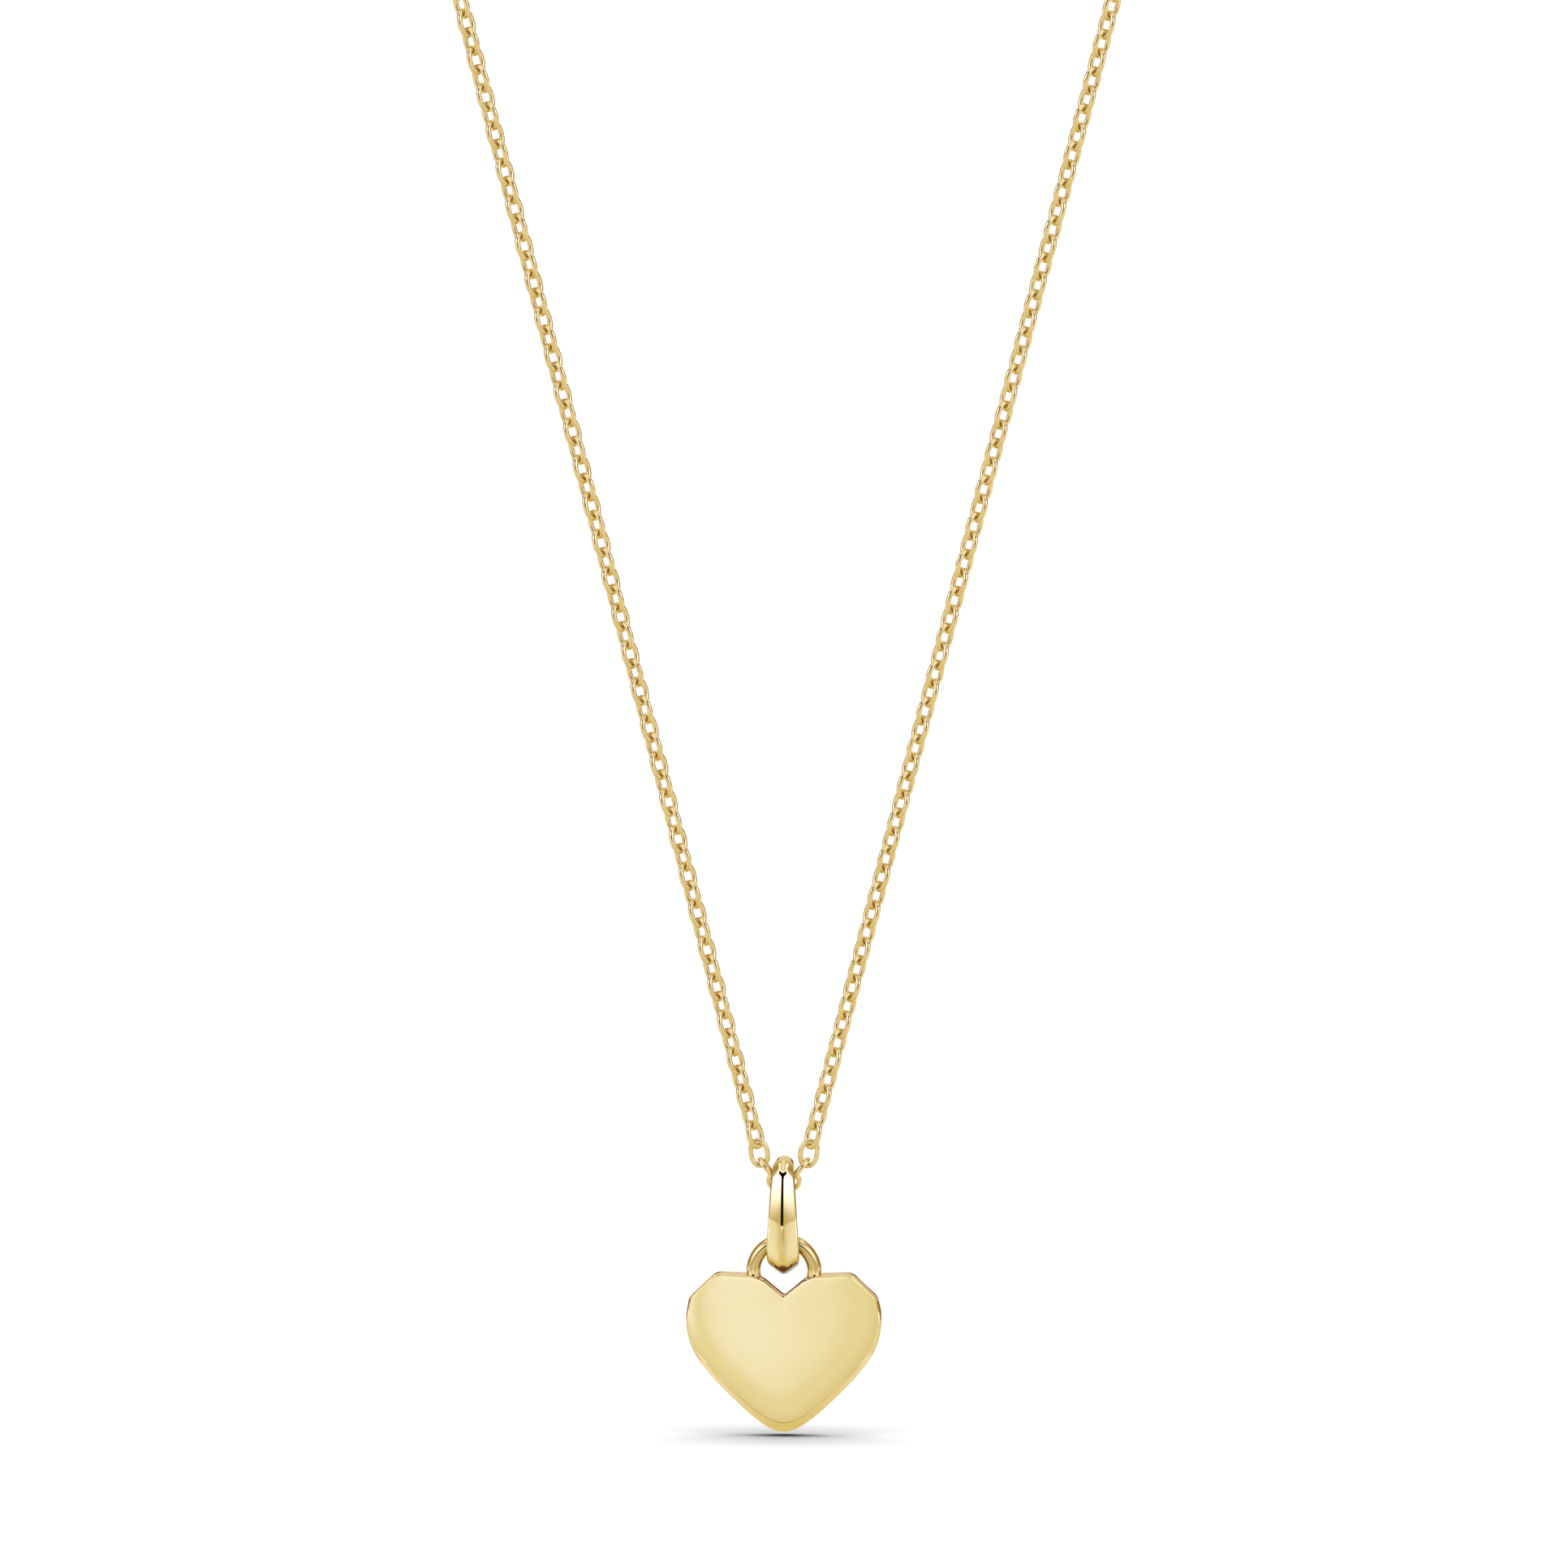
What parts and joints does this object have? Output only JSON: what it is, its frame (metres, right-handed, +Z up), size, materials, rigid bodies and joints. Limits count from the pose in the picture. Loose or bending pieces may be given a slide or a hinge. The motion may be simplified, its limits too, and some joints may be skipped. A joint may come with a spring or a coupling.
{
  "type": "heart pendant necklace",
  "caption": "Polished gold heart pendant on a ridged bail, hanging from a fine cable chain that closes with a plain clasp at the nape.",
  "frame": {"origin": "the middle of the closed clasp at the nape of the neck, where the necklace hangs", "axes": "+Z up, -Y forwards to the pendant, +X to the right as seen from the front"},
  "size_m": [0.1006, 0.1036, 0.1762],
  "materials": {
    "heart_gold": "polished yellow gold",
    "bail_gold": "polished yellow gold",
    "chain_gold": "polished yellow gold wire",
    "clasp_gold": "polished yellow gold"
  },
  "bodies": {
    "necklace": {"chain_left": "chain_gold", "chain_right": "chain_gold", "center_link": "chain_gold", "left_link_1": "chain_gold", "left_link_2": "chain_gold", "right_link_1": "chain_gold", "right_link_2": "chain_gold", "jump_ring_left": "clasp_gold", "jump_ring_right": "clasp_gold", "clasp": "clasp_gold"},
    "bail": {"bail": "bail_gold"},
    "heart": {"heart": "heart_gold"}
  },
  "joints": [
    {"name": "bail_swing", "type": "hinge", "parent": "necklace", "child": "bail", "pos_m": [0, -0.1, -0.158], "axis": [1, 0, 0], "range_deg": [-90, 90]},
    {"name": "heart_swing", "type": "hinge", "parent": "bail", "child": "heart", "pos_m": [0, -0.1, -0.1635], "axis": [0, 1, 0], "range_deg": [-60, 60]}
  ]
}
